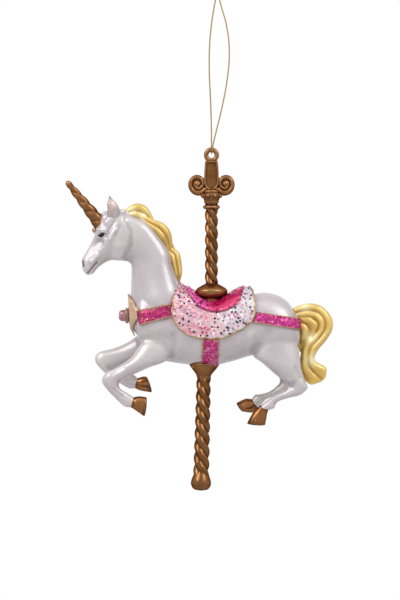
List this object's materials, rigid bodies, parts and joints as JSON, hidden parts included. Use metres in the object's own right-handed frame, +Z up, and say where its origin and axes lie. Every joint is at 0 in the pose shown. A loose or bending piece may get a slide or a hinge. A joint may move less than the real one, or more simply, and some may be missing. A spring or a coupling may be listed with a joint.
{
  "type": "carousel unicorn ornament",
  "caption": "Hanging ornament: a leaping unicorn with saddle and straps on a rope-twist carousel pole, with a fleur-de-lis finial whose eye hangs on a thread loop.",
  "frame": {"origin": "centre of the hanging eye on the finial", "axes": "+Z up along the pole, -X the way the figure faces, -Y its near side"},
  "size_m": [0.1198, 0.0256, 0.2239],
  "materials": {
    "antique_bronze": "metallic bronze paint, rubbed bright on the ridges",
    "pearl_white": "glossy pearlescent white lacquer",
    "hair_gold": "glossy golden paint, darker in the grooves",
    "pink_glitter": "hot pink glitter with clear glaze",
    "pale_glitter": "white and pale pink chunky glitter with dark flakes",
    "rose_gold": "pale rose gold paint",
    "setting_gold": "polished",
    "pink_gem": "clear pink resin stone",
    "peg_steel": "plain",
    "gold_thread": "twisted metallic thread"
  },
  "bodies": {
    "hanger": {"hanger_thread": "gold_thread", "thread_knot": "gold_thread"},
    "ornament": {"hanging_eye": "antique_bronze", "finial": "antique_bronze", "pole_collar": "antique_bronze", "upper_pole": "antique_bronze", "upper_flange": "antique_bronze", "lower_ferrule": "antique_bronze", "lower_pole": "antique_bronze", "pole_knob": "antique_bronze", "near_fore_hoof": "antique_bronze", "far_fore_hoof": "antique_bronze", "near_hind_hoof": "antique_bronze", "far_hind_hoof": "antique_bronze", "horn": "antique_bronze", "horse_body": "pearl_white", "near_foreleg": "pearl_white", "far_foreleg": "pearl_white", "near_hind_leg": "pearl_white", "far_hind_leg": "pearl_white", "mane": "hair_gold", "tail": "hair_gold", "saddle": "pink_glitter", "near_breast_strap": "pink_glitter", "far_breast_strap": "pink_glitter", "near_rear_strap": "pink_glitter", "far_rear_strap": "pink_glitter", "near_girth": "pink_glitter", "far_girth": "pink_glitter", "saddle_blanket": "pale_glitter", "chest_star": "rose_gold", "gem_setting": "setting_gold", "chest_gem": "pink_gem", "forehead_jewel": "pink_gem", "upper_peg": "peg_steel", "lower_peg": "peg_steel"}
  },
  "joints": [
    {"name": "swing", "type": "hinge", "parent": "hanger", "child": "ornament", "pos_m": [0, 0, 0], "axis": [0, 1, 0], "range_deg": [-45, 45]}
  ]
}
